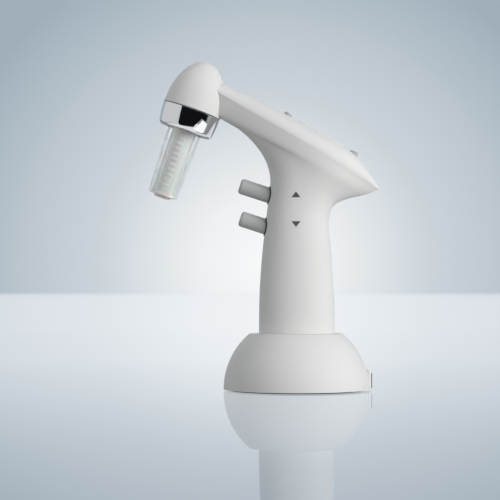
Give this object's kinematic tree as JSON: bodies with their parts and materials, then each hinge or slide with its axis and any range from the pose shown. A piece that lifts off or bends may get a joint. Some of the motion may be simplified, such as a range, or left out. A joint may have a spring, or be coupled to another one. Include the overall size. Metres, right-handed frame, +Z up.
{
  "type": "motorized pipette controller",
  "caption": "Handheld motorized pipette controller with two push buttons, a screw-off clear nose and a slanted arm, standing in a domed charging stand.",
  "frame": {"origin": "centre of the stand's underside, on the surface it stands on", "axes": "+Z up, +X to the tail of the handset, -X to its nose, symmetric about Y = 0"},
  "size_m": [0.1384, 0.0866, 0.1973],
  "materials": {
    "white_plastic": "fine matte texture",
    "grey_plastic": "smooth matte",
    "inner_plastic": "plain moulded",
    "black_rubber": "matte",
    "black_plastic": "satin",
    "steel": "plain",
    "brass": "plated",
    "circuit_laminate": "laminate",
    "cell_wrap": "plain wrap",
    "clear_plastic": "clear polished",
    "silicone": "translucent matte",
    "filter_membrane": "membrane",
    "chrome": "polished"
  },
  "bodies": {
    "stand": {"stand_shell": "white_plastic", "base_plate": "inner_plastic", "base_screws": "steel", "base_pad": "black_rubber", "ballast_ring": "steel", "socket_cup": "inner_plastic", "contact_pins": "brass", "contact_holder": "inner_plastic", "stand_board": "circuit_laminate", "inlet_housing": "white_plastic", "inlet_jack": "black_plastic", "inlet_pin": "brass"},
    "handset": {"handle_shell_left": "white_plastic", "handle_shell_right": "white_plastic", "case_screws": "steel", "button_seals": "black_rubber", "top_cover": "white_plastic", "top_inlay": "white_plastic", "rest_nubs": "grey_plastic", "head_cap": "white_plastic", "head_ring": "white_plastic", "nose_spigot": "inner_plastic", "spigot_seal": "black_rubber", "grip_end_cap": "white_plastic", "charge_contacts": "brass", "battery_cells": "cell_wrap", "battery_tray": "inner_plastic", "circuit_board": "circuit_laminate", "valve_block": "inner_plastic", "spring_seats": "steel", "motor_can": "steel", "motor_end_bell": "black_plastic", "pump_body": "inner_plastic", "pump_diaphragm": "black_rubber", "pump_valve_plate": "inner_plastic", "pump_head": "inner_plastic", "air_tube_nose": "silicone", "air_tube_valve": "silicone"},
    "nose": {"nose_tube": "clear_plastic", "pipette_adapter": "silicone", "air_filter": "filter_membrane"},
    "collar": {"chrome_collar": "chrome"},
    "aspirate": {"aspirate_button": "grey_plastic", "aspirate_valve_pin": "steel"},
    "dispense": {"dispense_button": "grey_plastic", "dispense_valve_pin": "steel"},
    "rotor": {"motor_shaft": "steel", "crank": "brass"}
  },
  "joints": [
    {"name": "handset_lift", "type": "slide", "parent": "stand", "child": "handset", "axis": [0, 0, 1], "range_m": [0, 0.06]},
    {"name": "nose_out", "type": "slide", "parent": "handset", "child": "nose", "axis": [-0.3256, 0, -0.9455], "range_m": [0, 0.0061]},
    {"name": "collar_turn", "type": "hinge", "parent": "nose", "child": "collar", "pos_m": [-0.06464, 0, 0.16179], "axis": [-0.3256, 0, -0.9455], "range_deg": [0, 720]},
    {"name": "aspirate_press", "type": "slide", "parent": "handset", "child": "aspirate", "axis": [0.95, 0, -0.3123], "range_m": [0, 0.005], "stiffness_N_per_m": 250, "springref_m": -0.002},
    {"name": "dispense_press", "type": "slide", "parent": "handset", "child": "dispense", "axis": [0.95, 0, -0.3123], "range_m": [0, 0.005], "stiffness_N_per_m": 250, "springref_m": -0.002},
    {"name": "pump_spin", "type": "hinge", "parent": "handset", "child": "rotor", "pos_m": [-0.00317, 0, 0.14866], "axis": [-0.8607, 0, 0.509], "continuous": true}
  ],
  "couplings": [
    {"joint": "nose_out", "follows": "collar_turn", "m_per_rad": 0.00047746}
  ]
}
